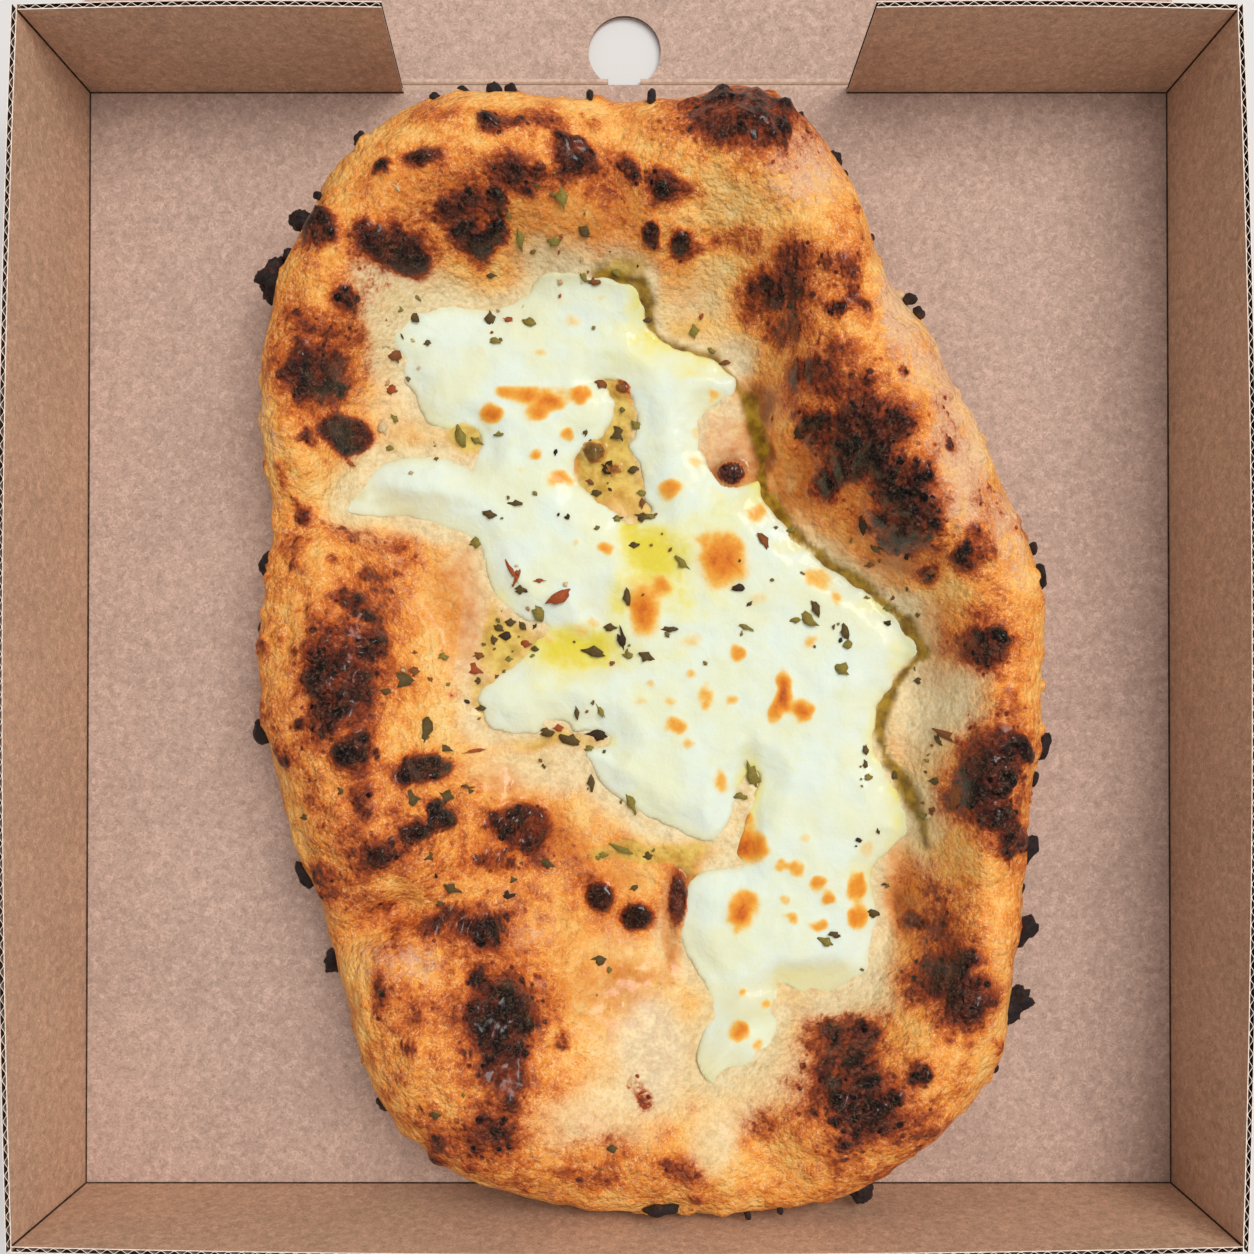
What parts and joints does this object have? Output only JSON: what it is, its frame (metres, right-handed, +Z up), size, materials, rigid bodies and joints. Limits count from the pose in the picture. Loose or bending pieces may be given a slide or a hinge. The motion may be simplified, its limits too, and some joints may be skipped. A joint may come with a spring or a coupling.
{
  "type": "garlic bread in box",
  "caption": "Oval garlic flatbread with a puffed charred rim, melted cheese and herbs, in an open shallow corrugated board tray with its back wall and lid folded down flat.",
  "frame": {"origin": "centre of the tray's underside, on the surface that the box lies on", "axes": "+X to the right across the tray, +Y from the front wall to the folded-down back wall and lid, +Z up"},
  "size_m": [0.3562, 0.6666, 0.0435],
  "materials": {
    "board": "plain brown kraft, matte",
    "crust": "baked wheat crust, floury tan to charred, oily near the cheese",
    "cheese": "melted white cheese, soft sheen"
  },
  "bodies": {
    "tray": {"tray": "board", "bread": "crust", "mozzarella": "cheese"},
    "back_wall": {"back_wall": "board"},
    "lid": {"lid": "board"},
    "lid_left_flap": {"lid_left_flap": "board"},
    "lid_right_flap": {"lid_right_flap": "board"},
    "lid_front_flap": {"lid_front_flap": "board"}
  },
  "joints": [
    {"name": "back_wall_fold", "type": "hinge", "parent": "tray", "child": "back_wall", "pos_m": [0, 0.154, 0.0015], "axis": [1, 0, 0], "range_deg": [0, 90]},
    {"name": "lid_fold", "type": "hinge", "parent": "back_wall", "child": "lid", "pos_m": [0, 0.1963, 0.0015], "axis": [1, 0, 0], "range_deg": [0, 90]},
    {"name": "lid_left_flap_fold", "type": "hinge", "parent": "lid", "child": "lid_left_flap", "pos_m": [-0.148, 0.348, 0.0015], "axis": [0, 1, 0], "range_deg": [0, 90]},
    {"name": "lid_right_flap_fold", "type": "hinge", "parent": "lid", "child": "lid_right_flap", "pos_m": [0.148, 0.348, 0.0015], "axis": [0, -1, 0], "range_deg": [0, 90]},
    {"name": "lid_front_flap_fold", "type": "hinge", "parent": "lid", "child": "lid_front_flap", "pos_m": [0, 0.4997, 0.0015], "axis": [1, 0, 0], "range_deg": [0, 90]}
  ]
}
